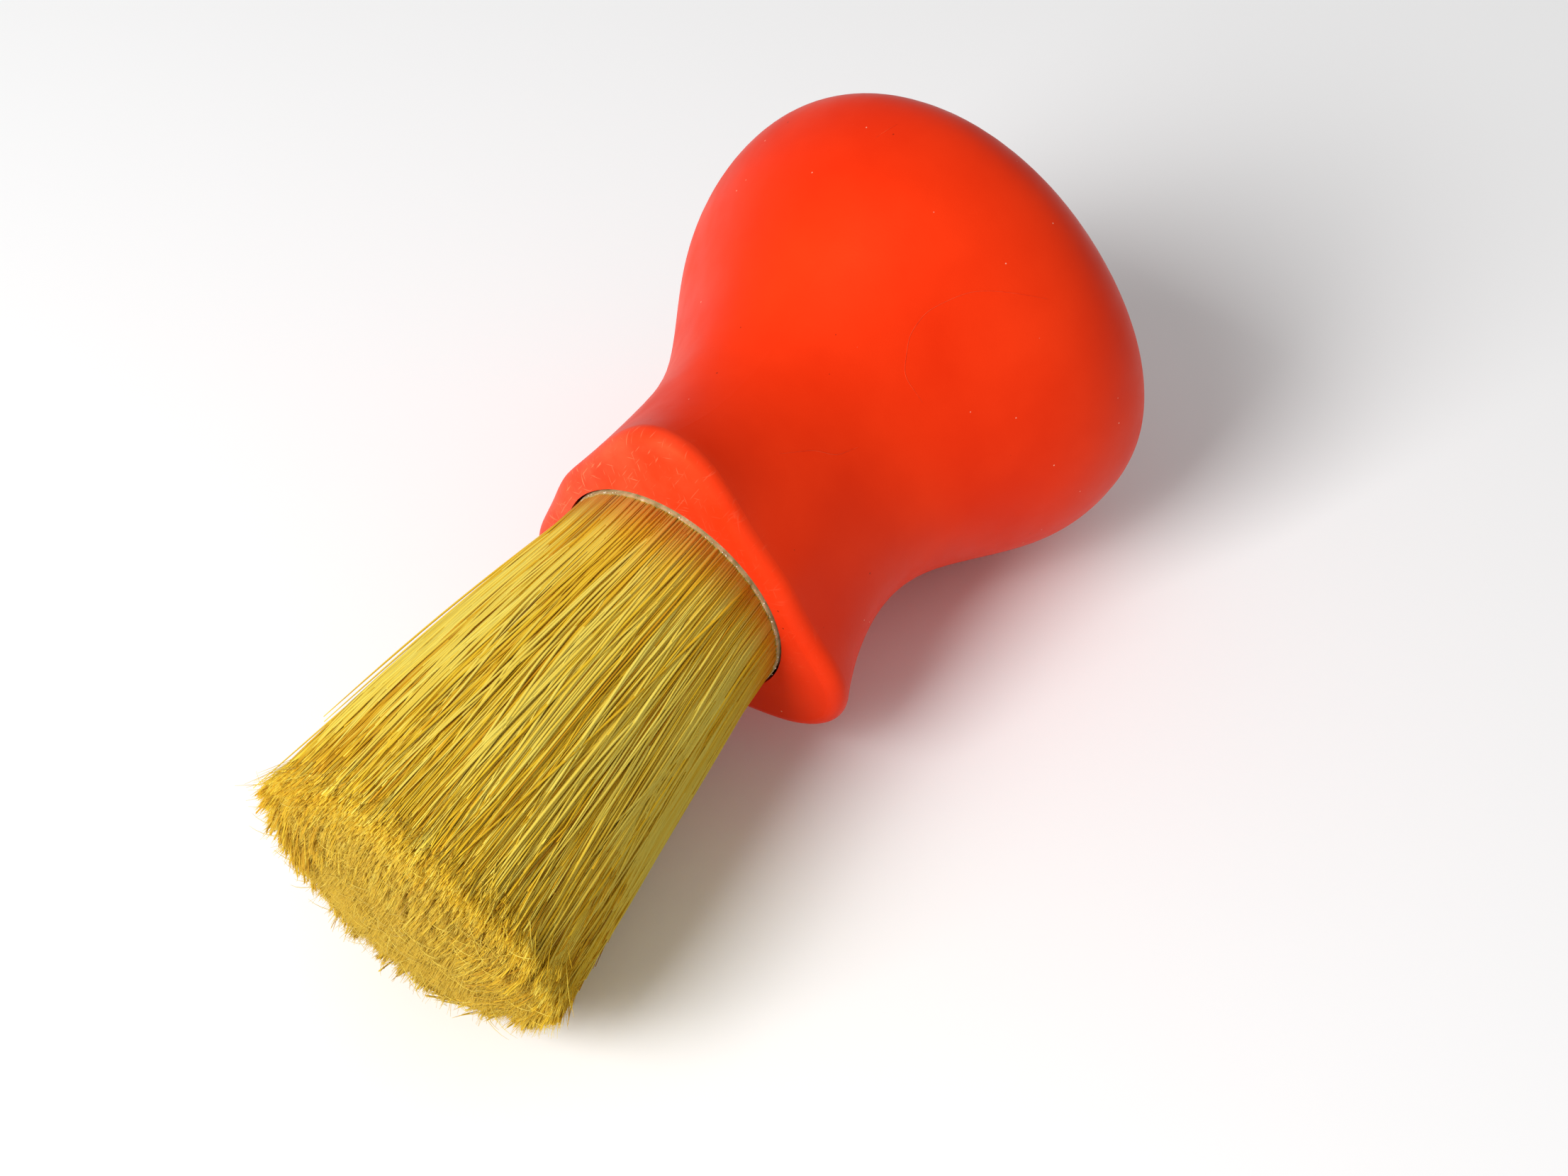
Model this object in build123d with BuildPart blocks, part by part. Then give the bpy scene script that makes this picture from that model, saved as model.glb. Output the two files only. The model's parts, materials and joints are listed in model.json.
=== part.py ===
"""Round pastry brush with a palm grip, lying on its side with the bristles pointing to -Y.

Lengths along the brush are counted from the mouth of the ferrule's socket: + runs back into
the handle and - runs out along the bristles. Millimetres and degrees.
"""
from build123d import *
import os
from math import cos, pi, radians, sin

# The brush lies on the underside of its bulb and on the tips of its bristles
TILT = 5.4                  # the axis rises this much towards the bulb

# Handle outline: a mean radius with three rounded corners, at the collar, waist and bulb.
# The corners are a share of the radius, and their sharpness is a second harmonic.
COLLAR_RADIUS = 21.4
COLLAR_CORNERS = 0.183
COLLAR_SHARPNESS = 0.047
COLLAR_SWEEP = 2.0          # how early the waist opens into the collar: 1 is a straight cone
CORNER_SWEEP = 1.65
WAIST_AT = 17.3
WAIST_RADIUS = 18.6
WAIST_CORNERS = 0.067
WAIST_SWEEP = 1.07
BULB_AT = 50.8
BULB_RADIUS = 31.0
BULB_CORNERS = 0.037
HANDLE_LENGTH = 65.3        # to where the rear dome would close
DOME_FULLNESS = 2.6         # exponent of the rear dome: 2 is an ellipsoid
DOME_KEPT = 0.98            # share of the dome's depth in front of the flat end
FACE_RADIUS = 165.0         # the collar's front face bulges like this ball
COLLAR_EDGE = 1.8           # rounding around the face

# Handle construction
SKIN = 1.0                  # soft overmould
CORE_WALL = 2.2
CORE_EDGE = 0.9
LAP_LENGTH = 4.0            # the cap's spigot inside the core's rim
RIB_THICKNESS = 1.8
RIB_LENGTH = 16.0

# Ferrule, its socket and the set butts
FERRULE_RADIUS = 15.0
FERRULE_WALL = 0.28
FERRULE_PROUD = 0.35         # stands out of the collar's face
SOCKET_DEPTH = 12.0
SOCKET_GAP = 0.3
SOCKET_FLOOR = 2.4
GROOVE_AT = 8.0             # crimped groove that locks the resin
GROOVE_DEPTH = 0.5
GROOVE_WIDTH = 1.8
SETTING_FRONT = 4.5         # the resin starts this far inside the ferrule
BOND_FRONT = 3.0            # and the adhesive this far inside the socket

# Tuft
TUFT_LENGTH = 50.0          # to the edge of its domed tip
TIP_DOME = 7.4
MIDWAY_FLARE = 0.47         # share of the flare that is reached half way out

SECTION_POINTS = 24
CORE_SPLIT = BULB_AT        # where the rear cap is welded to the core
CAVITY = SKIN + CORE_WALL
LAP = SKIN + CORE_WALL / 2
BORE_RADIUS = FERRULE_RADIUS - FERRULE_WALL
SOCKET_RADIUS = FERRULE_RADIUS + SOCKET_GAP


def handle_radius(along, angle, inset=0.0):
    """Distance from the axis to the handle's surface, less a wall; angle 0 is the upper corner."""
    sharpness = 0.0
    if along < WAIST_AT:
        opening = 1 - along / WAIST_AT
        radius = WAIST_RADIUS + (COLLAR_RADIUS - WAIST_RADIUS) * opening**COLLAR_SWEEP
        corners = WAIST_CORNERS + (COLLAR_CORNERS - WAIST_CORNERS) * opening**CORNER_SWEEP
        sharpness = COLLAR_SHARPNESS * opening**CORNER_SWEEP
    elif along < BULB_AT:
        share = (along - WAIST_AT) / (BULB_AT - WAIST_AT)
        swell = (1 - cos(pi * share**WAIST_SWEEP)) / 2
        radius = WAIST_RADIUS + (BULB_RADIUS - WAIST_RADIUS) * swell
        corners = WAIST_CORNERS + (BULB_CORNERS - WAIST_CORNERS) * share
    else:
        depth = (along - BULB_AT) / (HANDLE_LENGTH - inset - BULB_AT)
        closing = (1 - depth**DOME_FULLNESS) ** (1 / DOME_FULLNESS)
        radius = inset + (BULB_RADIUS - inset) * closing
        corners = BULB_CORNERS * closing
    turn = radians(3 * angle)
    return radius * (1 + corners * cos(turn) + sharpness * cos(2 * turn)) - inset


def dome_end(inset=0.0):
    """Where the flat end of the rear dome lies, inset by a wall."""
    return BULB_AT + DOME_KEPT * (HANDLE_LENGTH - inset - BULB_AT)


# Where the brush lies: the bulb's underside and the edge of the tuft's tip touch the ground
RISE = sin(radians(TILT))
RUN = cos(radians(TILT))
UNDERSIDE = [BULB_AT + (dome_end() - BULB_AT) * step / 50 for step in range(-50, 51)]
AXIS_HEIGHT = max(handle_radius(at, 180) * RUN - at * RISE for at in UNDERSIDE)
REAR_REACH = max(handle_radius(at, 180) * RISE + at * RUN for at in UNDERSIDE)
TIP_RADIUS = (AXIS_HEIGHT - TUFT_LENGTH * RISE) / RUN
TIP_BALL = (TIP_RADIUS**2 + TIP_DOME**2) / (2 * TIP_DOME)
FRONT_REACH = (TUFT_LENGTH + TIP_DOME - TIP_BALL) * RUN + TIP_BALL

# The brush's own planes: BRUSH looks back along the axis with X up, SIDE has X up and Y back
BRUSH = Plane(
    origin=(0, (FRONT_REACH - REAR_REACH) / 2, AXIS_HEIGHT),
    x_dir=(0, -RISE, RUN),
    z_dir=(0, RUN, RISE),
)
SIDE = Plane(origin=BRUSH.origin, x_dir=BRUSH.x_dir, z_dir=BRUSH.x_dir.cross(BRUSH.z_dir))
BRUSH_AXIS = Axis(BRUSH.origin, BRUSH.z_dir)
FACE_BALL = BRUSH.offset((FACE_RADIUS**2 - FERRULE_RADIUS**2) ** 0.5)


def handle_section(along, inset):
    """The handle's section at one place along it, inset by a wall."""
    outline = []
    for step in range(SECTION_POINTS):
        angle = 360 * step / SECTION_POINTS
        reach = handle_radius(along, angle, inset)
        outline.append((reach * cos(radians(angle)), reach * sin(radians(angle))))
    with BuildSketch(BRUSH.offset(along)) as section:
        with BuildLine():
            Spline(outline, periodic=True)
        make_face()
    return section.sketch


def handle_sections(start, end, inset=0.0):
    """Sections for a loft from start to end, closer together where the outline bends."""
    dome_depth = HANDLE_LENGTH - inset - BULB_AT
    places = [WAIST_AT * share for share in (0.12, 0.26, 0.44, 0.68, 1)]
    places += [WAIST_AT + (BULB_AT - WAIST_AT) * share for share in (0.2, 0.4, 0.6, 0.8, 1)]
    places += [BULB_AT + dome_depth * sin(radians(step)) for step in (18, 35, 50, 61, 70)]
    between = [at for at in places if start + 0.7 < at < end - 0.3]
    return [handle_section(at, inset) for at in [start, *between, end]]


def crimped_line(radius, front, back):
    """Draw one side of the ferrule's wall, with its groove, in the current outline."""
    Line((radius, front), (radius, GROOVE_AT - GROOVE_WIDTH / 2))
    ThreePointArc(
        (radius, GROOVE_AT - GROOVE_WIDTH / 2),
        (radius - GROOVE_DEPTH, GROOVE_AT),
        (radius, GROOVE_AT + GROOVE_WIDTH / 2),
    )
    Line((radius, GROOVE_AT + GROOVE_WIDTH / 2), (radius, back))


def face_edges(form):
    """The edge around a form's domed front face."""
    return form.part.faces().filter_by(GeomType.SPHERE).sort_by(BRUSH_AXIS)[0].outer_wire().edges()


# Forms that the handle's pieces share
with BuildPart() as outer_form:
    loft(handle_sections(0, dome_end()))
    with Locations(FACE_BALL):
        Sphere(FACE_RADIUS, mode=Mode.INTERSECT)
    fillet(face_edges(outer_form), COLLAR_EDGE)

with BuildPart() as core_form:
    loft(handle_sections(0, dome_end(SKIN), SKIN))
    with Locations(FACE_BALL):
        Sphere(FACE_RADIUS - SKIN, mode=Mode.INTERSECT)
    fillet(face_edges(core_form), CORE_EDGE)

with BuildPart() as cavity_form:
    loft(handle_sections(SOCKET_DEPTH + SOCKET_FLOOR, dome_end(CAVITY), CAVITY))

with BuildPart() as lap_form:
    loft(handle_sections(CORE_SPLIT - LAP_LENGTH, CORE_SPLIT, LAP))

with BuildPart() as socket_form:
    with BuildSketch(BRUSH.offset(SOCKET_DEPTH)):
        Circle(SOCKET_RADIUS)
    extrude(amount=-2 * SOCKET_DEPTH)

with BuildPart() as rib_form:
    with BuildSketch(BRUSH.offset(SOCKET_DEPTH + SOCKET_FLOOR)):
        with PolarLocations(0, 3):
            Rectangle(BULB_RADIUS, RIB_THICKNESS, align=(Align.MIN, Align.CENTER))
    extrude(amount=RIB_LENGTH)
    add(cavity_form.part, mode=Mode.INTERSECT)

# Soft grip, moulded over the whole core and round the face to the socket's mouth
with BuildPart() as grip_skin:
    add(outer_form.part)
    add(core_form.part, mode=Mode.SUBTRACT)
    add(socket_form.part, mode=Mode.SUBTRACT)
grip_skin.part.label = "grip_skin"

# Rigid core: collar with the socket, waist and the front of the hollow bulb
with BuildPart() as core_body:
    add(core_form.part)
    split(bisect_by=BRUSH.offset(CORE_SPLIT), keep=Keep.BOTTOM)
    add(cavity_form.part, mode=Mode.SUBTRACT)
    add(rib_form.part)
    add(lap_form.part, mode=Mode.SUBTRACT)
    add(socket_form.part, mode=Mode.SUBTRACT)
core_body.part.label = "core_body"

# Rear cap, welded into the core's rim by its spigot
with BuildPart() as core_cap:
    add(core_form.part)
    split(bisect_by=BRUSH.offset(CORE_SPLIT), keep=Keep.TOP)
    add(lap_form.part)
    add(cavity_form.part, mode=Mode.SUBTRACT)
core_cap.part.label = "core_cap"

# Thin metal ferrule, crimped once round its middle
with BuildPart() as ferrule:
    with BuildSketch(SIDE):
        with BuildLine():
            crimped_line(FERRULE_RADIUS, -FERRULE_PROUD, SOCKET_DEPTH)
            crimped_line(BORE_RADIUS, -FERRULE_PROUD, SOCKET_DEPTH)
            Line((BORE_RADIUS, -FERRULE_PROUD), (FERRULE_RADIUS, -FERRULE_PROUD))
            Line((BORE_RADIUS, SOCKET_DEPTH), (FERRULE_RADIUS, SOCKET_DEPTH))
        make_face()
    revolve(axis=BRUSH_AXIS)
ferrule.part.label = "ferrule"

# Adhesive between the ferrule and its socket
with BuildPart() as ferrule_bond:
    with BuildSketch(SIDE):
        with BuildLine():
            crimped_line(FERRULE_RADIUS, BOND_FRONT, SOCKET_DEPTH)
            Line((FERRULE_RADIUS, BOND_FRONT), (SOCKET_RADIUS, BOND_FRONT))
            Line((SOCKET_RADIUS, BOND_FRONT), (SOCKET_RADIUS, SOCKET_DEPTH))
            Line((SOCKET_RADIUS, SOCKET_DEPTH), (FERRULE_RADIUS, SOCKET_DEPTH))
        make_face()
    revolve(axis=BRUSH_AXIS)
ferrule_bond.part.label = "ferrule_bond"

# Resin plug that the butts are set in
with BuildPart() as bristle_setting:
    with BuildSketch(SIDE):
        with BuildLine():
            crimped_line(BORE_RADIUS, SETTING_FRONT, SOCKET_DEPTH)
            Line((BORE_RADIUS, SETTING_FRONT), (0, SETTING_FRONT))
            Line((0, SETTING_FRONT), (0, SOCKET_DEPTH))
            Line((0, SOCKET_DEPTH), (BORE_RADIUS, SOCKET_DEPTH))
        make_face()
    revolve(axis=BRUSH_AXIS)
bristle_setting.part.label = "bristle_setting"

# Tuft of bristles: parallel inside the ferrule, then flaring to a domed tip
with BuildPart() as bristles:
    with BuildSketch(SIDE):
        with BuildLine():
            Line((0, SETTING_FRONT), (BORE_RADIUS, SETTING_FRONT))
            Line((BORE_RADIUS, SETTING_FRONT), (BORE_RADIUS, -FERRULE_PROUD))
            flank = ThreePointArc(
                (BORE_RADIUS, -FERRULE_PROUD),
                (BORE_RADIUS + MIDWAY_FLARE * (TIP_RADIUS - BORE_RADIUS), -TUFT_LENGTH / 2),
                (TIP_RADIUS, -TUFT_LENGTH),
            )
            tip = TangentArc((0, -TUFT_LENGTH - TIP_DOME), flank @ 1, tangent=(1, 0))
            Line(tip @ 0, (0, SETTING_FRONT))
        make_face()
    revolve(axis=BRUSH_AXIS)
bristles.part.label = "bristles"

os.makedirs("parts", exist_ok=True)
export_step(grip_skin.part, "parts/grip_skin.step")
export_step(core_body.part, "parts/core_body.step")
export_step(core_cap.part, "parts/core_cap.step")
export_step(ferrule.part, "parts/ferrule.step")
export_step(ferrule_bond.part, "parts/ferrule_bond.step")
export_step(bristle_setting.part, "parts/bristle_setting.step")
export_step(bristles.part, "parts/bristles.step")

stand_face = BRUSH.offset(dome_end())
print("stand face centre (mm)", tuple(round(value, 4) for value in stand_face.origin))
print("stand face normal", tuple(round(value, 6) for value in stand_face.z_dir))
print("stand face radius (mm)", round(handle_radius(dome_end(), 30), 2))
print("tuft tip radius (mm)", round(TIP_RADIUS, 3), "axis height (mm)", round(AXIS_HEIGHT, 3))
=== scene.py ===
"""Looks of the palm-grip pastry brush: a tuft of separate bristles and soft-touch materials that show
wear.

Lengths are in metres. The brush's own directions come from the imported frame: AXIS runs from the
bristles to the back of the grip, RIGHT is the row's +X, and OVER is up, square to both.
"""
import json
from math import cos, pi, radians, sin

import bmesh
import bpy
import numpy as np
from mathutils import Matrix, Vector


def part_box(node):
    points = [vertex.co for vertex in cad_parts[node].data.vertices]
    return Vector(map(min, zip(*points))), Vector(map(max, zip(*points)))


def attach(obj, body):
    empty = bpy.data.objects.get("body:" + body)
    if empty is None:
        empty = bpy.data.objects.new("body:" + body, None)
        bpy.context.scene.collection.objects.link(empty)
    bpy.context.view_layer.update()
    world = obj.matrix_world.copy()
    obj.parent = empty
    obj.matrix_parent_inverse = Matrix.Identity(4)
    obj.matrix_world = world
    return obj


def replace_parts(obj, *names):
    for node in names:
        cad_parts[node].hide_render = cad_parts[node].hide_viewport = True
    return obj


MM = 0.001

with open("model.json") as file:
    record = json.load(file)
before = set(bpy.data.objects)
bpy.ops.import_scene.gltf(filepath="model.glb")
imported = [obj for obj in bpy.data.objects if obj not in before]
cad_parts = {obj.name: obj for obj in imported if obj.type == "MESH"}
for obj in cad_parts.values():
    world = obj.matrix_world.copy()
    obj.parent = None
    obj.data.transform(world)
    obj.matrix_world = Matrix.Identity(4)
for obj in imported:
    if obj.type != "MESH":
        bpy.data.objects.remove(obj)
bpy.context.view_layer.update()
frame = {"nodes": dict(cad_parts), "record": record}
nodes = frame["nodes"]

# The brush's directions, from the flat at the back of the grip
stand_face = frame["record"]["mounts"][0]
AXIS = Vector(stand_face["axis"]).normalized()
RIGHT = Vector((1, 0, 0))
OVER = RIGHT.cross(AXIS).normalized()
REAR = Vector(stand_face["pos_m"])


def front_of(node):
    """Where the front of a CAD node is along the axis, from the back of the grip."""
    vertices = nodes[node].data.vertices
    points = np.zeros(len(vertices) * 3)
    vertices.foreach_get("co", points)
    return ((points.reshape(-1, 3) - np.array(REAR)) @ np.array(AXIS)).min()


def half_width(node):
    low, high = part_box(node)
    return (high.x - low.x) / 2


# The lip is the centre of the ferrule's front edge
LIP = REAR + AXIS * front_of("ferrule")
BORE = half_width("bristle_setting")
TIP_RADIUS = half_width("bristles")
TUFT_REACH = front_of("ferrule") - front_of("bristles")
FRAME_AXES = np.array([RIGHT, OVER, -AXIS])


def to_world(points):
    """Points given as (right, over, out from the lip) in the row's frame."""
    return np.asarray(points) @ FRAME_AXES + np.array(LIP)


# ---------------------------------------------------------------- camera, light and floor

# Where the camera stands, from the middle of the socket's mouth
MOUTH = LIP + AXIS * 0.6 * MM
CAMERA_FROM_MOUTH = Vector((159.4, -204.5, 265.8)) * MM
CAMERA_AZIMUTH = 35.11
CAMERA_ELEVATION = 45.74
CAMERA_ROLL = -0.51
CAMERA_LENS = 73.24

LIGHT_TARGET = Vector((0, 0, 30 * MM))
FLOOR_HALF = 3.0


def make_camera():
    data = bpy.data.cameras.new("camera")
    data.lens = CAMERA_LENS
    data.sensor_width = 36
    data.clip_start = 0.01
    camera = bpy.data.objects.new("camera", data)
    bpy.context.scene.collection.objects.link(camera)
    turn = Matrix.Rotation(radians(CAMERA_AZIMUTH), 4, "Z")
    turn @= Matrix.Rotation(radians(90 - CAMERA_ELEVATION), 4, "X")
    turn @= Matrix.Rotation(radians(CAMERA_ROLL), 4, "Z")
    camera.matrix_world = Matrix.Translation(MOUTH + CAMERA_FROM_MOUTH) @ turn
    bpy.context.scene.camera = camera


def make_light(name, azimuth, elevation, distance, size, power):
    """A square soft light that faces the brush; azimuth 0 is in front, over the bristles."""
    data = bpy.data.lights.new(name, "AREA")
    data.size = size
    data.energy = power
    light = bpy.data.objects.new(name, data)
    bpy.context.scene.collection.objects.link(light)
    way = Vector((
        sin(radians(azimuth)) * cos(radians(elevation)),
        -cos(radians(azimuth)) * cos(radians(elevation)),
        sin(radians(elevation)),
    ))
    light.location = LIGHT_TARGET + way * distance
    light.rotation_euler = way.to_track_quat("Z", "Y").to_euler()


def make_world(strength):
    world = bpy.data.worlds.new("studio")
    world.use_nodes = True
    background = world.node_tree.nodes["Background"]
    background.inputs["Color"].default_value = (1, 1, 1, 1)
    background.inputs["Strength"].default_value = strength
    bpy.context.scene.world = world


def make_floor():
    mesh = bpy.data.meshes.new("floor")
    corners = [(FLOOR_HALF * x, FLOOR_HALF * y, 0) for x, y in ((-1, -1), (1, -1), (1, 1), (-1, 1))]
    mesh.from_pydata(corners, [], [(0, 1, 2, 3)])
    floor = bpy.data.objects.new("floor", mesh)
    bpy.context.scene.collection.objects.link(floor)
    material = bpy.data.materials.new("floor")
    material.use_nodes = True
    shader = material.node_tree.nodes["Principled BSDF"]
    shader.inputs["Base Color"].default_value = (0.92, 0.92, 0.92, 1)
    shader.inputs["Roughness"].default_value = 0.8
    mesh.materials.append(material)


# ---------------------------------------------------------------- materials

DUST_SIZE = 0.035               # a speck's radius, as a share of the space between specks
DUST = (                        # fineness, colour and strength of the pale and the dark specks
    (280, (0.95, 0.62, 0.45), 0.8),
    (230, (0.16, 0.010, 0.004), 0.7),
)
STROKE = (0.17 * MM, 3 * MM, 2.2 * MM)   # the width, depth and length of a scratch
STROKE_TURNS = (0.5, -0.35, 1.3)         # and their directions, in radians round Y
STRAND_END_TAN_AND_SHADE = 0.4           # how strongly the side strands' ends turn tan and darker, the darker part painted shade
FLAG_END_TAN_AND_SHADE = 0.75            # and those of the strands in the domed end


class Nodes:
    """Short calls for building one material's node tree."""

    def __init__(self, name):
        self.material = bpy.data.materials.new(name)
        self.material.use_nodes = True
        self.tree = self.material.node_tree
        self.shader = self.tree.nodes["Principled BSDF"]

    def add(self, kind, **settings):
        node = self.tree.nodes.new(kind)
        for key, value in settings.items():
            setattr(node, key, value)
        return node

    def link(self, source, target):
        self.tree.links.new(source, target)

    def feed(self, socket, value):
        """Link a socket to an output, or set it to a number or a colour of three numbers."""
        if isinstance(value, bpy.types.NodeSocket):
            self.link(value, socket)
        elif isinstance(value, tuple):
            socket.default_value = (*value, 1)
        else:
            socket.default_value = value

    def set(self, **values):
        """Feed the shader's own sockets, named with _ for their spaces."""
        for key, value in values.items():
            self.feed(self.shader.inputs[key.replace("_", " ")], value)

    def coordinates(self):
        return self.add("ShaderNodeTexCoord").outputs["Object"]

    def noise(self, scale, detail, stretch=None):
        """Noise in object space, optionally stretched along the axes."""
        node = self.add("ShaderNodeTexNoise")
        node.inputs["Scale"].default_value = scale
        node.inputs["Detail"].default_value = detail
        place = self.coordinates()
        if stretch:
            mapping = self.add("ShaderNodeMapping")
            mapping.inputs["Scale"].default_value = stretch
            self.link(place, mapping.inputs["Vector"])
            place = mapping.outputs["Vector"]
        self.link(place, node.inputs["Vector"])
        return node.outputs["Fac"]

    def attribute(self, name):
        return self.add("ShaderNodeAttribute", attribute_name=name).outputs["Fac"]

    def ramp(self, factor, stops):
        """A colour ramp through (place, colour) stops."""
        node = self.add("ShaderNodeValToRGB")
        elements = node.color_ramp.elements
        while len(elements) < len(stops):
            elements.new(1.0)
        for element, (place, colour) in zip(elements, stops):
            element.position = place
            element.color = (*colour, 1)
        self.link(factor, node.inputs["Fac"])
        return node.outputs["Color"]

    def mix(self, factor, first, second):
        """One colour to another; the node's colour sockets are its 7th and 8th."""
        node = self.add("ShaderNodeMix", data_type="RGBA")
        self.feed(node.inputs[0], factor)
        self.feed(node.inputs[6], first)
        self.feed(node.inputs[7], second)
        return node.outputs[2]

    def math(self, operation, first, second):
        node = self.add("ShaderNodeMath", operation=operation)
        self.feed(node.inputs[0], first)
        self.feed(node.inputs[1], second)
        return node.outputs[0]

    def times(self, first, second):
        return self.math("MULTIPLY", first, second)

    def span(self, value, low, high, to_low=0.0, to_high=1.0):
        """Map a range of values to another, clamped."""
        node = self.add("ShaderNodeMapRange")
        self.link(value, node.inputs["Value"])
        limits = {"From Min": low, "From Max": high, "To Min": to_low, "To Max": to_high}
        for key, number in limits.items():
            node.inputs[key].default_value = number
        return node.outputs[0]

    def specks(self, scale, size):
        """Small round dots, 1 inside and 0 outside, at random places."""
        cells = self.add("ShaderNodeTexVoronoi", feature="F1")
        cells.inputs["Scale"].default_value = scale
        self.link(self.coordinates(), cells.inputs["Vector"])
        return self.span(cells.outputs["Distance"], size, size * 0.5)

    def scratches(self, turn):
        """Thin straight strokes, turned round Y: the peaks of stretched noise."""
        mapping = self.add("ShaderNodeMapping", vector_type="TEXTURE")
        mapping.inputs["Rotation"].default_value = (0, turn, 0)
        mapping.inputs["Scale"].default_value = STROKE
        self.link(self.coordinates(), mapping.inputs["Vector"])
        lines = self.add("ShaderNodeTexNoise")
        lines.inputs["Scale"].default_value = 1.0
        lines.inputs["Detail"].default_value = 0.0
        self.link(mapping.outputs["Vector"], lines.inputs["Vector"])
        return self.span(lines.outputs["Fac"], 0.745, 0.82)

    def bump(self, height, distance, strength):
        node = self.add("ShaderNodeBump")
        node.inputs["Strength"].default_value = strength
        node.inputs["Distance"].default_value = distance
        self.link(height, node.inputs["Height"])
        self.link(node.outputs["Normal"], self.shader.inputs["Normal"])


def soft_grip_material():
    """Satin orange-red elastomer: faint mottling, fine grain, specks of dust, a scratched collar face
    with a painted highlight.
    """
    look = Nodes("soft_grip")
    colour = look.ramp(look.noise(60, 4), [(0.3, (0.72, 0.025, 0.003)), (0.7, (0.82, 0.036, 0.005))])

    # The collar's front face is scratched and has a painted highlight, lighter and pinker, most of all
    # to its left, where the light falls
    place = look.add("ShaderNodeSeparateXYZ")
    look.link(look.coordinates(), place.inputs[0])
    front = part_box("grip_skin")[0].y
    on_face = look.span(place.outputs["Y"], front + 4 * MM, front + 0.5 * MM)
    to_left = look.span(place.outputs["X"], 8 * MM, -8 * MM, 0.15, 1.0)
    worn_and_lit = look.times(on_face, to_left)
    # painted highlight: the face lighter and pinker, in patches, most of all to its left where the
    # light falls
    painted_face_highlight = look.times(worn_and_lit, look.span(look.noise(260, 3), 0.3, 0.7, 0.3, 0.8))
    colour = look.mix(painted_face_highlight, colour, (0.90, 0.105, 0.040))
    scratched = 0.0
    for turn in STROKE_TURNS:
        scratched = look.math("MAXIMUM", scratched, look.scratches(turn))
    scratched = look.times(scratched, worn_and_lit)
    colour = look.mix(look.times(scratched, 0.6), colour, (0.92, 0.28, 0.14))

    for scale, tint, strength in DUST:
        specks = look.times(look.specks(scale, DUST_SIZE), strength)
        colour = look.mix(specks, colour, tint)

    rubbed = look.span(look.noise(140, 3), 0.3, 0.7, 0.38, 0.5)
    look.set(Base_Color=colour, Roughness=look.math("ADD", rubbed, look.times(scratched, 0.2)))
    look.set(Specular_IOR_Level=0.1, Specular_Tint=(1.0, 0.6, 0.2))
    grain = look.noise(3500, 2)
    look.bump(look.math("SUBTRACT", grain, look.times(scratched, 0.5)), 0.02 * MM, 0.4)
    return look.material


def bristle_material(name, end_tan_and_shade):
    """Hog bristle: straw to golden by the strand, more tan towards its end and darker there as painted
    shade, uneven along it.
    """
    look = Nodes(name)
    stretches = look.span(look.noise(420, 2, (1, 0.12, 1)), 0.3, 0.7, -0.08, 0.08)
    tone = look.math("ADD", look.attribute("tone"), stretches)
    colour = look.ramp(tone, [
        (0.0, (0.16, 0.07, 0.004)),
        (0.1, (0.68, 0.34, 0.010)),
        (0.5, (0.83, 0.54, 0.024)),
        (1.0, (0.91, 0.74, 0.125)),
    ])
    colour = look.mix(look.times(look.attribute("root"), 0.32), colour, (0.60, 0.27, 0.008))
    # towards the end: tan, and darker as painted shade
    colour = look.mix(look.times(look.attribute("end"), end_tan_and_shade), colour, (0.51, 0.325, 0.046))
    look.set(Base_Color=colour, Roughness=0.35)
    look.set(Specular_IOR_Level=0.35, Specular_Tint=(1.0, 0.85, 0.4))
    look.set(Sheen_Weight=0.1, Sheen_Roughness=0.4, Sheen_Tint=(1.0, 0.82, 0.3))
    return look.material


def packed_material():
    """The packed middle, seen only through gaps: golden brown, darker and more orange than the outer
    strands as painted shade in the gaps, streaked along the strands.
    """
    look = Nodes("bristle_packed")
    stretches = look.span(look.noise(420, 2), 0.3, 0.7, -0.14, 0.14)
    tone = look.math("ADD", look.attribute("tone"), stretches)
    # darker and more orange than the outer strands' colours: painted shade in the gaps between them
    colour = look.ramp(tone, [
        (0.0, (0.50, 0.19, 0.003)),
        (0.5, (0.76, 0.38, 0.010)),
        (1.0, (0.88, 0.56, 0.025)),
    ])
    colour = look.mix(look.attribute("end"), colour, (0.58, 0.37, 0.04))
    look.set(Base_Color=colour, Roughness=0.55, Specular_IOR_Level=0.2)
    return look.material


def metal_material():
    """Dulled, yellowed sheet with an uneven edge and brighter spots of wear."""
    look = Nodes("ferrule_metal")
    patches = look.noise(900, 4)
    colour = look.ramp(patches, [
        (0.3, (0.34, 0.28, 0.10)),
        (0.6, (0.64, 0.55, 0.27)),
        (0.75, (0.93, 0.88, 0.66)),
    ])
    look.set(Base_Color=colour, Roughness=look.span(patches, 0.3, 0.7, 0.6, 0.35), Metallic=0.3)
    look.bump(look.noise(2500, 3), 0.05 * MM, 0.8)
    return look.material


def fibre_material():
    """Pale red lint, a little lighter than the grip."""
    look = Nodes("fibre")
    colour = look.ramp(look.noise(700, 2), [(0.3, (0.60, 0.02, 0.003)), (0.7, (0.90, 0.11, 0.03))])
    look.set(Base_Color=colour, Roughness=0.6, Specular_IOR_Level=0.2)
    return look.material


def bead_material():
    """Pale glassy beads of adhesive."""
    look = Nodes("beads")
    colour = look.ramp(look.noise(1800, 2), [(0.3, (0.75, 0.68, 0.42)), (0.7, (0.98, 0.95, 0.85))])
    look.set(Base_Color=colour, Roughness=0.15, Specular_IOR_Level=0.8)
    return look.material


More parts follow.
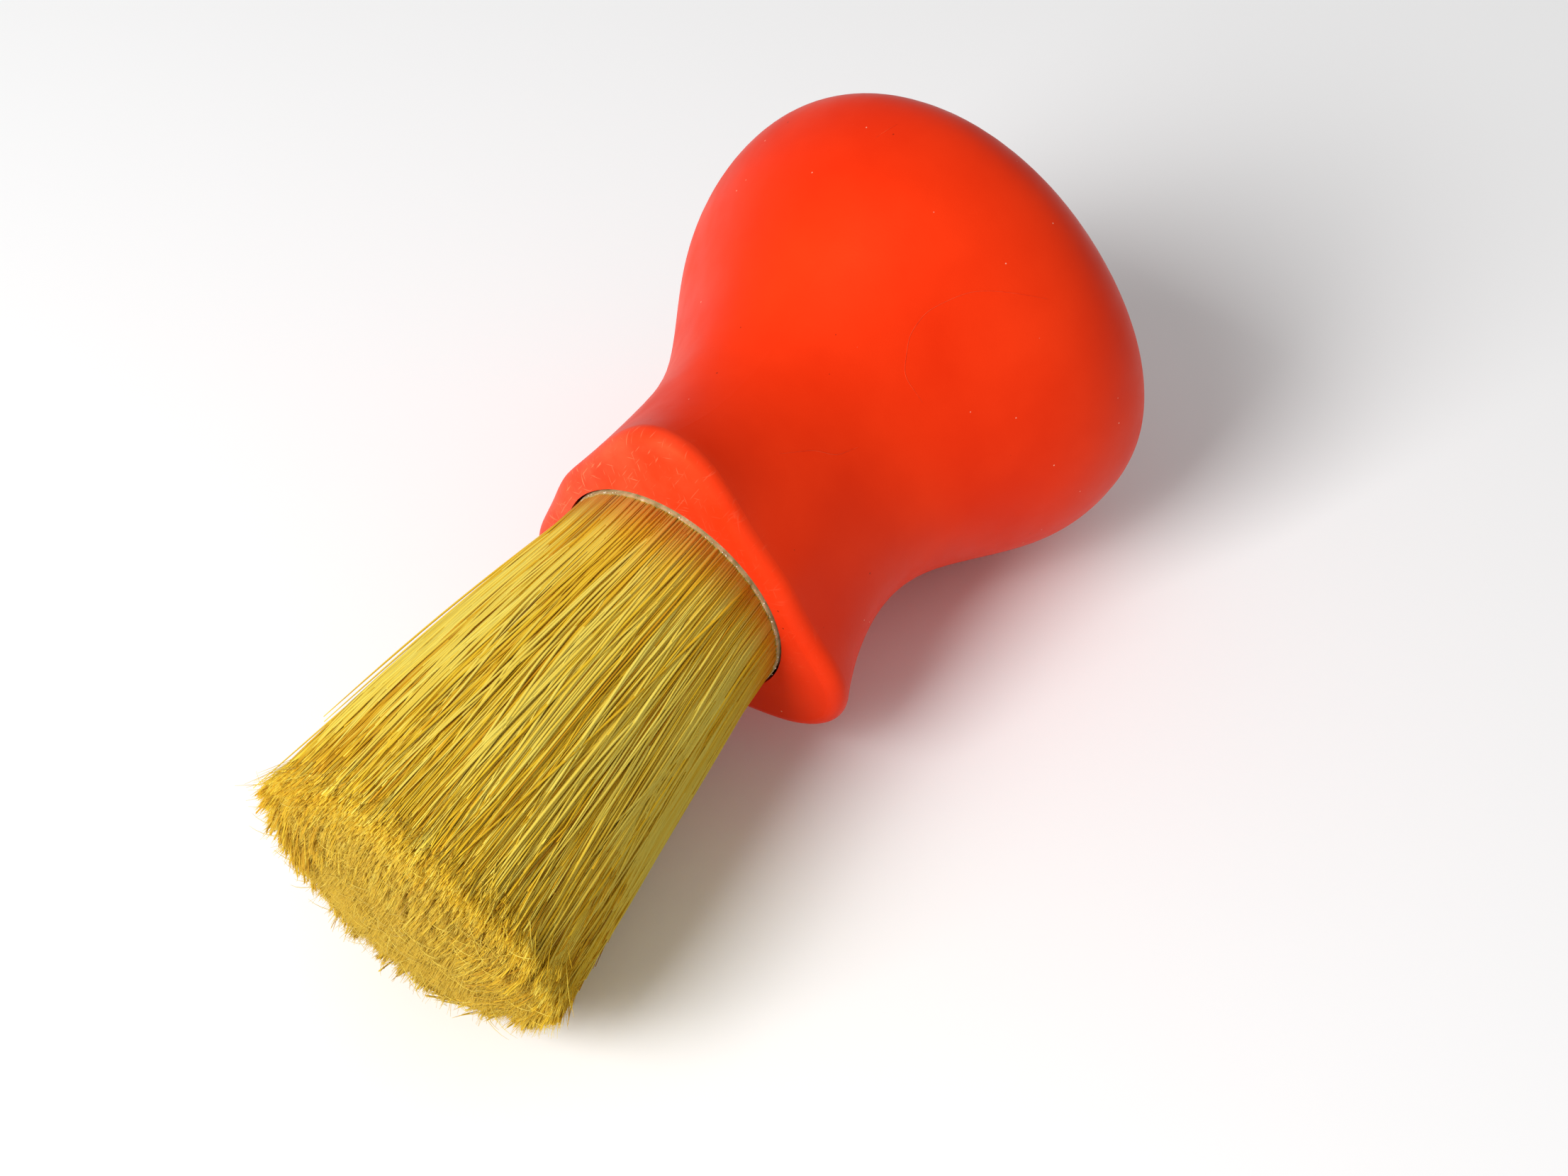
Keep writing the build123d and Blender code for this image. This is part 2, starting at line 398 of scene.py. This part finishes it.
def plain_material(name, dark, light, roughness):
    """Hidden or barely seen moulding: mottled colour with a fine grain."""
    look = Nodes(name)
    colour = look.ramp(look.noise(300, 3), [(0.3, dark), (0.7, light)])
    look.set(Base_Color=colour, Roughness=roughness)
    look.bump(look.noise(2000, 2), 0.03 * MM, 0.4)
    return look.material


# ---------------------------------------------------------------- meshes and pieces


def mesh_from_faces(name, vertices, face_sets):
    """A smooth mesh from arrays of faces, each array with its own number of corners."""
    mesh = bpy.data.meshes.new(name)
    mesh.vertices.add(len(vertices))
    mesh.vertices.foreach_set("co", np.ascontiguousarray(vertices, dtype=np.float64).ravel())
    corners = np.concatenate([faces.ravel() for faces in face_sets])
    mesh.loops.add(len(corners))
    mesh.loops.foreach_set("vertex_index", corners)
    sizes = np.concatenate([np.full(len(faces), faces.shape[1]) for faces in face_sets])
    mesh.polygons.add(len(sizes))
    mesh.polygons.foreach_set("loop_start", np.concatenate([[0], np.cumsum(sizes)[:-1]]))
    mesh.update(calc_edges=True)
    mesh.shade_smooth()
    return mesh


def write_attribute(mesh, name, values):
    attribute = mesh.attributes.new(name, "FLOAT", "POINT")
    attribute.data.foreach_set("value", np.ascontiguousarray(values, dtype=np.float64).ravel())


def add_piece(mesh, material):
    """A piece named as its mesh, riding on the one body."""
    mesh.materials.append(material)
    piece = bpy.data.objects.new(mesh.name, mesh)
    bpy.context.scene.collection.objects.link(piece)
    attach(piece, "root")
    return piece


def add_bristles(mesh, material):
    """A piece of the tuft, in place of the CAD's solid one."""
    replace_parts(add_piece(mesh, material), "bristles")


def unit(vectors):
    return vectors / np.linalg.norm(vectors, axis=-1, keepdims=True)


def taper(rings, late, late_size, tip_size):
    """Sizes along a strand: 1 at its root, then late_size at the place late, then tip_size."""
    return np.interp(rings, [0, late, 1], [1, late_size, tip_size])


def strand_mesh(name, paths, radii, tones, sides=3):
    """One mesh of many closed, tapered strands: paths are (strand, ring, 3), in metres."""
    count, rings = paths.shape[:2]
    forward = unit(np.gradient(paths, axis=1))
    aside = unit(np.cross(forward, np.array(RIGHT) * 0.6 + np.array(OVER) * 0.8))
    above = np.cross(forward, aside)
    turns = 2 * pi * np.arange(sides) / sides
    ring = aside[:, :, None] * np.cos(turns)[:, None] + above[:, :, None] * np.sin(turns)[:, None]
    vertices = (paths[:, :, None] + ring * radii[:, :, None, None]).reshape(-1, 3)

    index = np.arange(count * rings * sides).reshape(count, rings, sides)
    following = np.roll(index, -1, axis=2)
    quads = np.stack([index[:, :-1], following[:, :-1], following[:, 1:], index[:, 1:]], axis=-1)
    caps = np.concatenate([index[:, 0, ::-1], index[:, -1]])
    mesh = mesh_from_faces(name, vertices, [quads.reshape(-1, 4), caps])

    # the tips' tan and painted shade fade out at the side, where strands are seen along their length
    near_end, near_side = end_share(paths)
    near_end *= 1 - SIDE_END_FADE * over_last_fifth(near_side)
    write_attribute(mesh, "tone", np.repeat(tones, rings * sides))
    write_attribute(mesh, "end", np.repeat(near_end, sides))
    write_attribute(mesh, "root", np.repeat(root_share(paths), sides))
    return mesh


# ---------------------------------------------------------------- tuft: form

ROOT_INSIDE = 2.5 * MM          # strands start this far inside the lip
EDGE_REACH = 49.4 * MM          # from the lip to the edge of the domed end
DOME = TUFT_REACH - 1 * MM - EDGE_REACH   # how far the middle of the end stands out past its edge
END_SLANT = 5.8 * MM            # the uppermost strands reach this much further out
END_SLANT_UNDER = 0.35          # and the lowest ones less far, by this share of it
END_SLANT_RIGHT = 2.0 * MM      # the rightmost ones reach this much further out
LEAN = np.array([2.1, 0.5]) * MM         # how far the end leans to the right and up
SURFACE_INSET = 0.1 * MM        # the strands' middles stay this far inside the tuft's radius
END_LENGTH = 7 * MM             # how deep under the domed end the tips' tan and painted shade go
SIDE_END_FADE = 0.85            # how much of that colour goes at the side
ROOT_LENGTH = 14 * MM           # how far out from the lip the roots' colour goes

# Places along a strand, from its root to its tip
RINGS = np.array([0.0, 0.16, 0.33, 0.5, 0.66, 0.78, 0.87, 0.94, 1.0])
END_RINGS = np.array([0.0, 0.4, 0.75, 1.0])
FINE_RINGS = np.linspace(0, 1, 14)
STRAY_RINGS = np.linspace(0, 1, 6)


def over_last_fifth(share):
    """0 up to a share of 0.8, then rising evenly to 1 at a share of 1."""
    return np.clip((share - 0.8) / 0.2, 0, 1)


def radius_at(out):
    """The tuft's radius at a distance out from the lip."""
    return BORE + (TIP_RADIUS - BORE) * np.clip(out / EDGE_REACH, 0, 1.3)


def polar_paths(turn, share, out):
    """Paths inside the tuft from angles, shares of its radius and distances out, with its lean."""
    radius = share * (radius_at(out) - SURFACE_INSET)
    cross = np.stack([np.cos(turn), np.sin(turn)], axis=-1) * radius[..., None]
    cross = cross + LEAN * np.clip(out / EDGE_REACH, 0, None)[..., None] ** 2
    return np.concatenate([cross, out[..., None]], axis=-1)


def tip_reach(share, turn):
    """How far the domed, slanting end is from the lip, at a share of the radius and an angle."""
    up = share * np.sin(turn)
    aside = np.clip(share * np.cos(turn), 0, 1)
    slant = END_SLANT * np.where(up > 0, up, END_SLANT_UNDER * up) + END_SLANT_RIGHT * aside
    return EDGE_REACH + DOME * (1 - share**2) + slant


def end_share(points):
    """How near points in the row's frame are to the domed end, 0 to 1, and to the side, 0 to 1."""
    inside = (points - np.array(LIP)) @ FRAME_AXES.T
    out = inside[..., 2]
    cross = inside[..., :2] - LEAN * (out[..., None] / EDGE_REACH) ** 2
    share = np.clip(np.linalg.norm(cross, axis=-1) / radius_at(out), 0, 1)
    turn = np.arctan2(cross[..., 1], cross[..., 0])
    return np.clip(1 - (tip_reach(share, turn) - out) / END_LENGTH, 0, 1), share


def root_share(points):
    """How near points in the row's frame are to the lip, 0 to 1."""
    out = (points - np.array(LIP)) @ FRAME_AXES[2]
    return np.clip(1 - out / ROOT_LENGTH, 0, 1)


def sunflower(count):
    """Angles, and shares of the radius, of points spread evenly over a round."""
    number = np.arange(count)
    return number * pi * (3 - 5**0.5), np.sqrt((number + 0.5) / count)


# ---------------------------------------------------------------- tuft: strands

STRAND_RADII = np.array([0.075, 0.11, 0.15, 0.21]) * MM
STRAND_MIX = (0.25, 0.37, 0.26, 0.12)    # the share of strands with each radius
DARK_SHARE = 0.0015             # the share of dark strands
DARK_TONE = -0.3                # their tone, where the others' are 0.1 to 1
MIDDLE_TONE = 0.55
TONE_SPREAD = 0.15              # how much single strands differ in tone
BUNDLE_TONE_SPREAD = 0.17       # and how much locks and ribbons do

SIDE_STRANDS = 11000            # the outer layer, from the ferrule to the tip
LATE_STRANDS = 7600             # come up between the side strands part of the way along
LATE_START = (3, 26)            # from this far out, in mm
LATE_INSET = 0.09               # and from this share of the radius below the surface
SIDE_LOCKS = 78                 # the pointed bundles that each layer falls into
RIBBONS = 330                   # narrower bundles, each with its own tone
LAYER = 0.93                    # before they bow, the strands lie at this share of the radius or more
SURFACE = 1.012                 # and when they bow, at this share or less
BENT = 0.35                     # the share that bends over the dome
FEATHERED = 0.4                 # the share that ends early, by up to FEATHER_LENGTH
FEATHER_LENGTH = 13 * MM
LOCK_SLANT = 0.045              # how much locks slant round the axis, in radians at the tip
STRAND_SLANT = 0.065            # and how much single strands do
STRAYING = 0.14                 # the share of strands that slant STRAY_SLANT times as much
STRAY_SLANT = 2.4
BOW = 0.012                     # how much strands bow, in radians and in shares of the radius
KINKED = 0.025                  # the share of strands with a kink, of about KINK radians
KINK = 0.028

TIP_CLUMPS = 320                # small clumps that draw the tips into points
CLUMP_LENGTH = 9 * MM           # how far back from the tip they close up

END_STRANDS = 8500              # the middle of the domed end
END_DEPTH = 7 * MM              # they start this far under it
CROSSING = 340                  # pale hairs that lie across the side
END_STRAYS = 420                # fine hairs that lie across the domed end
FLAGS = 3                       # hairs that each strand's end splits into
FLAG_RADIUS = 0.048 * MM
SIDE_FLAG_SPREAD = 0.15 * MM    # how far they spread at the tip
SIDE_FLAG_LENGTH = 3 * MM       # and the length of the longest
END_FLAG_SPREAD = 0.55 * MM
END_FLAG_LENGTH = 7.5 * MM
FLAGGED = 0.6                   # strands have them if their end share is more than this
WILD = 0.15                     # the share of flags that spread WILD_SPREAD times as far
WILD_SPREAD = 2.6

PACK_SHARE = 0.966              # the closely packed middle's radius, as a share of the tuft's
PACK_TAPER = 0.03               # and how much less it is at the rim
PACK_SEGMENTS = 900
PACK_RINGS = 26
PACK_FRONT_RINGS = 14
PACK_SHORT = 2.4 * MM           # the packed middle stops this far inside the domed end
PACK_RIM_SHORT = 4.2 * MM       # and this far inside it at the rim
PACK_FLOOR_GAP = 0.3 * MM       # and this far above the floor

# Hairs that stand off the tuft: direction round the axis from RIGHT in degrees, length, and
# how far the middle and the end stand out, in mm
LOOSE_HAIRS = ((150, 41, 0.5, 1.1), (146, 42, 0.2, 0.6), (156, 52, 0.0, 0.9), (168, 51, 0.0, 0.8))
LOOSE_RADIUS = 0.15 * MM


def strand_radii(rng, count, rings):
    """Radii that taper to the tip, from a few thicknesses of bristle."""
    thickness = rng.choice(STRAND_RADII, (count, 1), p=STRAND_MIX)
    return thickness * taper(rings, 0.6, 1, 0.5)


def strand_tones(rng, middle):
    """Each strand's tone, around its lock's, and a few dark strands."""
    count = len(middle)
    tones = np.clip(middle + rng.normal(0, TONE_SPREAD, count), 0.1, 1)
    tones[rng.random(count) < DARK_SHARE] = DARK_TONE
    return tones


def clumped(paths, rng):
    """The same paths with their ends drawn together into small clumps of uneven length."""
    turn, spot = sunflower(TIP_CLUMPS)
    spot = spot * TIP_RADIUS * 0.98
    centres = np.stack([np.cos(turn), np.sin(turn)], axis=1) * spot[:, None] + LEAN
    centres += rng.normal(0, 0.25 * MM, centres.shape)
    tips = paths[:, -1, :2]
    clump = np.concatenate([
        np.argmin(((some[:, None] - centres[None]) ** 2).sum(axis=2), axis=1)
        for some in np.array_split(tips, 10)
    ])

    # clumps below and at the rim close up more and vary more; the lowest never get longer
    height = centres[:, 1] / TIP_RADIUS
    outlying = (height < -0.4) | ((spot > 0.85 * TIP_RADIUS) & (height < 0.4))
    longer = rng.normal(0, 0.15 * MM, TIP_CLUMPS) * (1 + 3 * outlying)
    longer = np.where(height < -0.6, -np.abs(longer), longer)[clump]
    pull = (rng.uniform(0.0, 0.2, TIP_CLUMPS) + 0.4 * outlying)[clump]
    near = np.clip(1 - (paths[:, -1:, 2] - paths[:, :, 2]) / CLUMP_LENGTH, 0, 1) ** 1.2
    paths = paths.copy()
    paths[..., :2] += (centres[clump] - tips)[:, None] * (pull[:, None] * near)[..., None]
    paths[..., 2] += longer[:, None] * near
    return paths


def add_hairs(name, paths, radii, tones, pieces, material):
    """Pieces of the tuft. Where paths would go under the floor, they are lifted in place."""
    paths[..., 2] = np.maximum(paths[..., 2], radii * 1.05)
    for part, members in enumerate(np.array_split(np.arange(len(paths)), pieces)):
        piece_name = f"{name}_{part + 1}"
        add_bristles(strand_mesh(piece_name, paths[members], radii[members], tones[members]), material)


def add_packed_middle(material):
    """The closely packed strands under the outer layer, as one ridged body that closes the gaps."""
    rng = np.random.default_rng(3)
    turn = 2 * pi * np.arange(PACK_SEGMENTS) / PACK_SEGMENTS

    # the side, with ridges that run along it
    along = np.linspace(0, 1, PACK_RINGS)
    side = PACK_SHARE - PACK_TAPER * over_last_fifth(along)
    side_out = along[:, None] * (tip_reach(1.0, turn) - PACK_RIM_SHORT + ROOT_INSIDE) - ROOT_INSIDE
    side_ridge = rng.normal(0, 0.14 * MM, PACK_SEGMENTS)
    side_ridge = side_ridge + rng.normal(0, 0.1 * MM, (PACK_RINGS, PACK_SEGMENTS))

    # the front: rings that close towards the middle over the dome
    front = np.linspace(0.95, 0.04, PACK_FRONT_RINGS)
    short = PACK_SHORT + (PACK_RIM_SHORT - PACK_SHORT) * front**5
    front_out = tip_reach(front[:, None], turn) - short[:, None]
    front_ridge = rng.normal(0, 0.12 * MM, front_out.shape) * front[:, None]

    out = np.concatenate([side_out, front_out])
    ridge = np.concatenate([side_ridge, front_ridge])
    share = np.concatenate([side, side[-1] * front])[:, None] + ridge / radius_at(out)
    points = to_world(polar_paths(np.broadcast_to(turn, out.shape), share, out)).reshape(-1, 3)
    points[:, 2] = np.maximum(points[:, 2], PACK_FLOOR_GAP)

    index = np.arange(share.size).reshape(share.shape)
    following = np.roll(index, -1, axis=1)
    quads = np.stack([index[:-1], index[1:], following[1:], following[:-1]], axis=-1).reshape(-1, 4)
    mesh = mesh_from_faces("tuft_packed", points, [quads, index[:1], index[-1:, ::-1]])
    # low tones, darker still: part of the painted shade in the gaps
    tones = np.clip(rng.normal(0.3, 0.15, PACK_SEGMENTS), 0.1, 1)
    write_attribute(mesh, "tone", np.broadcast_to(tones, share.shape))
    write_attribute(mesh, "end", np.clip(end_share(points)[0] / 0.6, 0, 1))
    add_bristles(mesh, material)


def side_strands(rng, start):
    """Strands of the outer layer, in pointed locks that lean and bow: their paths and tones.

    Each starts a distance out from the lip. Some end short of the rim, others bend over the dome.
    """
    count = len(start)
    turn = rng.uniform(0, 2 * pi, count)
    lock_turn = np.sort(rng.uniform(0, 2 * pi, SIDE_LOCKS))
    lock = np.searchsorted(lock_turn, turn) % SIDE_LOCKS
    width = (lock_turn[lock] - lock_turn[lock - 1]) % (2 * pi)
    away = (turn - lock_turn[lock - 1]) % (2 * pi) - width / 2
    off_middle = np.abs(away) / (width / 2)

    # how far each reaches, and how deep it lies from its root to its tip
    first_share = rng.uniform(LAYER, 1.0, count)
    rim_share = rng.uniform(LAYER, 1.0, count)
    bent = rng.random(count) < BENT
    last_share = rim_share - bent * rng.uniform(0.05, 0.45, count)
    short = rng.exponential(0.7 * MM, count)
    short += ~bent * off_middle * rng.uniform(0.8, 2.6, SIDE_LOCKS)[lock] * MM
    feathered = rng.random(count) < FEATHERED
    short += feathered * rng.uniform(0, 1, count) ** 1.6 * FEATHER_LENGTH
    uneven = rng.normal(0, 0.6 * MM, SIDE_LOCKS)[lock]
    length = tip_reach(last_share, turn) - 0.2 * MM - short + uneven
    share = first_share[:, None] + (rim_share - first_share)[:, None] * RINGS
    share -= (rim_share - last_share)[:, None] * over_last_fifth(RINGS) ** 1.5
    out = start[:, None] + RINGS * (length - start)[:, None]

    # slant round the axis, in locks and one by one; the locks also close to points
    slant = rng.normal(0, LOCK_SLANT, SIDE_LOCKS)[lock] + rng.normal(0, STRAND_SLANT, count)
    slant[rng.random(count) < STRAYING] *= STRAY_SLANT
    reach = np.clip(out / EDGE_REACH, 0, None)
    turns = turn[:, None] + slant[:, None] * reach ** rng.uniform(0.9, 1.8, count)[:, None]
    turns -= (away * rng.uniform(0.05, 0.5, SIDE_LOCKS)[lock])[:, None] * reach**2

    # bows and kinks
    turns += rng.normal(0, BOW, count)[:, None] * np.sin(RINGS * pi * 1.5 + 1)
    kinked = np.flatnonzero(rng.random(count) < KINKED)
    turns[kinked, rng.integers(3, 6, len(kinked))] += rng.normal(0, KINK, len(kinked))
    share += rng.normal(0, BOW, count)[:, None] * np.sin(RINGS * pi)

    ribbon = np.searchsorted(np.sort(rng.uniform(0, 2 * pi, RIBBONS)), turn) % RIBBONS
    tones = rng.normal(MIDDLE_TONE, BUNDLE_TONE_SPREAD, SIDE_LOCKS)[lock]
    tones += rng.normal(0, BUNDLE_TONE_SPREAD, RIBBONS)[ribbon]
    return turns, np.minimum(share, SURFACE), out, strand_tones(rng, tones)


def add_side_layer(name, rng, start, inset, pieces, material):
    """One layer of the side, whose strands start inset, a share of the radius, below the surface.

    Returns their paths and tones.
    """
    turns, share, out, tones = side_strands(rng, start)
    share -= inset * (1 - RINGS) ** 2
    paths = to_world(clumped(polar_paths(turns, share, out), rng))
    add_hairs(name, paths, strand_radii(rng, len(start), RINGS), tones, pieces, material)
    return paths, tones


def add_crossing_hairs(rng, material):
    """Pale, thicker hairs that lie across the others."""
    turn = rng.uniform(0, 2 * pi, CROSSING)
    slant = rng.normal(0, 0.11, CROSSING)

    # from 2 mm inside the lip to 22 mm out, and up to 16 mm short of the end
    start = rng.uniform(-2, 22, CROSSING) * MM
    length = tip_reach(1.0, turn) - rng.uniform(0, 16, CROSSING) * MM
    out = start[:, None] + FINE_RINGS * (length - start)[:, None]
    turns = turn[:, None] + slant[:, None] * FINE_RINGS
    turns += rng.normal(0, BOW, (CROSSING, 1)) * np.sin(FINE_RINGS * pi * 2)
    share = SURFACE - 0.05 * np.abs(1 - 2 * FINE_RINGS) ** 3
    paths = to_world(polar_paths(turns, share, out))
    radii = rng.uniform(0.12, 0.25, (CROSSING, 1)) * MM * taper(FINE_RINGS, 0.7, 0.9, 0.3)
    add_hairs("tuft_crossing", paths, radii, rng.uniform(0.7, 1, CROSSING), 1, material)


def add_end_strands(rng, material):
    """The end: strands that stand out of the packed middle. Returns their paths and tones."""
    turn, share = sunflower(END_STRANDS)
    turn = turn + rng.normal(0, 0.02, END_STRANDS)
    share = share * 0.985
    length = tip_reach(share, turn) - 0.3 * MM - rng.exponential(0.5 * MM, END_STRANDS)
    start = tip_reach(share, turn) - END_DEPTH
    out = start[:, None] + END_RINGS * (length - start)[:, None]
    paths = polar_paths(turn[:, None], share[:, None], out)
    paths[..., :2] += rng.normal(0, 0.5 * MM, (END_STRANDS, 1, 2)) * (END_RINGS**1.3)[:, None]
    paths = to_world(clumped(paths, rng))
    tones = strand_tones(rng, np.full(END_STRANDS, MIDDLE_TONE))
    radii = strand_radii(rng, END_STRANDS, END_RINGS * 0.6 + 0.4)
    add_hairs("tuft_end", paths, radii, tones, 1, material)
    return paths, tones


def add_end_strays(rng, material):
    """Fine pale hairs that lie every way across the end."""
    turn = rng.uniform(0, 2 * pi, END_STRAYS)
    share = np.sqrt(rng.random(END_STRAYS)) * 0.92
    heading = rng.uniform(0, 2 * pi, END_STRAYS)
    length = rng.uniform(2, 5, (END_STRAYS, 1)) * MM
    roots = polar_paths(turn, share, tip_reach(share, turn) - 0.8 * MM)
    paths = roots[:, None].repeat(len(STRAY_RINGS), axis=1)
    across = np.stack([np.cos(heading), np.sin(heading)], axis=1)
    paths[..., :2] += across[:, None] * (length * STRAY_RINGS)[..., None]
    rise = rng.uniform(0.1, 0.7, (END_STRAYS, 1)) * STRAY_RINGS - 0.4 * STRAY_RINGS**2
    paths[..., 2] += length * rise
    radii = rng.uniform(0.03, 0.055, (END_STRAYS, 1)) * MM * taper(STRAY_RINGS, 0.6, 0.9, 0.3)
    add_hairs("tuft_strays", to_world(paths), radii, rng.uniform(0.75, 1, END_STRAYS), 1, material)


def split_ends(paths, rng, spread, longest):
    """Flags: each strand's end splits into finer hairs. Returns their paths and owners."""
    owner = np.repeat(np.arange(len(paths)), FLAGS)
    count = len(owner)
    back = rng.uniform(0.4, 1, count) * longest
    tip = paths[owner, -1]
    way = unit(tip - paths[owner, -3])
    past = rng.normal(0, 0.5, count) * MM
    along = -back[:, None] + END_RINGS * (back + past)[:, None]
    flags = tip[:, None] + way[:, None] * along[..., None]
    apart = rng.normal(0, spread, (count, 2)) @ FRAME_AXES[:2]
    apart[rng.random(count) < WILD] *= WILD_SPREAD
    flags += apart[:, None] * (END_RINGS**1.4)[None, :, None]
    return flags, owner


def add_flags(name, rng, strands, spread, longest, pieces, material):
    """Split ends on the strands that reach the domed end."""
    paths, tones = strands
    reaching = end_share(paths[:, -1])[0] > FLAGGED
    flags, owner = split_ends(paths[reaching], rng, spread, longest)
    radii = FLAG_RADIUS * rng.uniform(0.7, 1.2, (len(flags), 1)) * taper(END_RINGS, 0.7, 0.8, 0.3)
    tones = np.clip(0.6 * tones[reaching][owner] + rng.normal(0.26, 0.18, len(flags)), 0.2, 1)
    add_hairs(name, flags, radii, tones, pieces, material)


def add_loose_hairs(material):
    """A few single hairs that stand off the side of the tuft."""
    rng = np.random.default_rng(11)
    turn, length, middle, end = np.array(LOOSE_HAIRS).T[..., None]
    out = FINE_RINGS * length * MM
    off = (middle * np.sin(FINE_RINGS * pi) + end * FINE_RINGS**2) * MM
    paths = to_world(polar_paths(np.radians(turn), 1 + off / radius_at(out), out))
    radii = np.broadcast_to(LOOSE_RADIUS * taper(FINE_RINGS, 0.7, 0.85, 0.35), out.shape)
    tones = rng.uniform(0.5, 0.8, len(turn))
    add_bristles(strand_mesh("loose_hairs", paths, radii, tones, 5), material)


def make_tuft():
    rng = np.random.default_rng(7)
    strand_look = bristle_material("bristle", STRAND_END_TAN_AND_SHADE)
    flag_look = bristle_material("bristle_flags", FLAG_END_TAN_AND_SHADE)
    add_packed_middle(packed_material())

    side_start = np.full(SIDE_STRANDS, -ROOT_INSIDE)
    side = add_side_layer("tuft_side", rng, side_start, inset=0, pieces=3, material=strand_look)
    late_start = rng.uniform(*LATE_START, LATE_STRANDS) * MM
    late = add_side_layer("tuft_late", rng, late_start, LATE_INSET, pieces=2, material=strand_look)
    add_crossing_hairs(rng, strand_look)
    end = add_end_strands(rng, flag_look)
    add_end_strays(rng, strand_look)

    add_flags("flags_1", rng, side, SIDE_FLAG_SPREAD, SIDE_FLAG_LENGTH, 3, strand_look)
    add_flags("flags_2", rng, late, SIDE_FLAG_SPREAD, SIDE_FLAG_LENGTH, 2, strand_look)
    add_flags("flags_3", rng, end, END_FLAG_SPREAD, END_FLAG_LENGTH, 3, flag_look)
    add_loose_hairs(strand_look)


# ---------------------------------------------------------------- lint and beads

# Fine fibres that lie on the grip: (direction round the axis in degrees, mm behind the lip)
FIBRES = (
    ((41, 47), (55, 41), (60, 36), (59, 33), (52, 30), (41, 30)),
    ((65, 12), (57, 16), (49, 18), (45, 21)),
    ((94, 48.5), (93, 50), (92, 51.5)),
)
FIBRE_RADIUS = 0.022 * MM
FIBRE_HEIGHT = 0.03 * MM        # the fibre's middle, above the grip
RAY_START = 60 * MM             # further from the axis than the grip's surface anywhere
BEADS = 70


def smoothed(values):
    """The values with their corners rounded and their ends kept."""
    for _ in range(12):
        values[1:-1] = (values[:-2] + 2 * values[1:-1] + values[2:]) / 4
    return values


def make_fibres():
    """Lint on the bulb: short soft hairs laid on the CAD grip's surface."""
    look = fibre_material()
    for number, route in enumerate(FIBRES):
        turn, along = np.array(route, dtype=float).T
        last = len(route) - 1
        steps = np.linspace(0, last, 10 * len(route))
        turn = smoothed(np.radians(np.interp(steps, range(len(route)), turn)))
        along = smoothed(np.interp(steps, range(len(route)), along) * MM)
        points = []
        for angle, place in zip(turn, along):
            inward = -(RIGHT * cos(angle) + OVER * sin(angle))
            start = LIP + AXIS * place - inward * RAY_START
            _, spot, normal, _ = nodes["grip_skin"].ray_cast(start, inward)
            points.append(spot + normal * FIBRE_HEIGHT)
        paths = np.array(points)[None]
        radii = FIBRE_RADIUS * np.interp(steps, [0, 1, last - 1, last], [0.4, 1, 1, 0.4])[None]
        mesh = strand_mesh(f"fibre_{number + 1}", paths, radii, np.array([0.5]), 5)
        add_piece(mesh, look)


def make_beads():
    """Beads of cured adhesive along the ferrule's front edge, half of them at its upper right."""
    rng = np.random.default_rng(5)
    ball = bmesh.new()
    bmesh.ops.create_icosphere(ball, subdivisions=1, radius=1)
    shape = np.array([vertex.co for vertex in ball.verts])
    corners = np.array([[vertex.index for vertex in face.verts] for face in ball.faces])
    ball.free()

    upper_right = rng.normal(1.0, 0.7, BEADS // 2)
    turn = np.concatenate([upper_right, rng.uniform(0, 2 * pi, BEADS - BEADS // 2)])
    radius = half_width("ferrule") + rng.choice([-0.12, 0.05, 0.12], BEADS) * MM
    out = rng.uniform(-0.15, 0.02, BEADS) * MM
    centres = to_world(np.stack([np.cos(turn) * radius, np.sin(turn) * radius, out], axis=1))
    size = rng.uniform(0.04, 0.11, BEADS) * MM
    squash = rng.uniform(0.6, 1.3, (BEADS, 1, 3))
    dents = rng.uniform(0.75, 1.15, (BEADS, len(shape), 1))
    points = centres[:, None] + shape * dents * squash * size[:, None, None]
    faces = (corners[None] + (np.arange(BEADS) * len(shape))[:, None, None]).reshape(-1, 3)
    mesh = mesh_from_faces("ferrule_beads", points.reshape(-1, 3), [faces])
    add_piece(mesh, bead_material())


def finish_cad_nodes():
    """Materials for the CAD nodes that stay."""
    rigid = plain_material("rigid_core", (0.38, 0.015, 0.006), (0.5, 0.03, 0.012), 0.5)
    looks = {
        "grip_skin": soft_grip_material(),
        "core_body": rigid,
        "core_cap": rigid,
        "ferrule": metal_material(),
        "ferrule_bond": plain_material("adhesive", (0.2, 0.02, 0.01), (0.3, 0.05, 0.02), 0.4),
        "bristle_setting": plain_material("resin", (0.25, 0.16, 0.05), (0.35, 0.24, 0.09), 0.25),
    }
    for node, material in looks.items():
        nodes[node].data.materials.clear()
        nodes[node].data.materials.append(material)


make_camera()
make_world(strength=0.42)
make_light("key", azimuth=-9, elevation=40, distance=0.8, size=0.4, power=7.4)
make_floor()
finish_cad_nodes()
make_tuft()
make_fibres()
make_beads()
bpy.context.scene.view_settings.view_transform = "Standard"
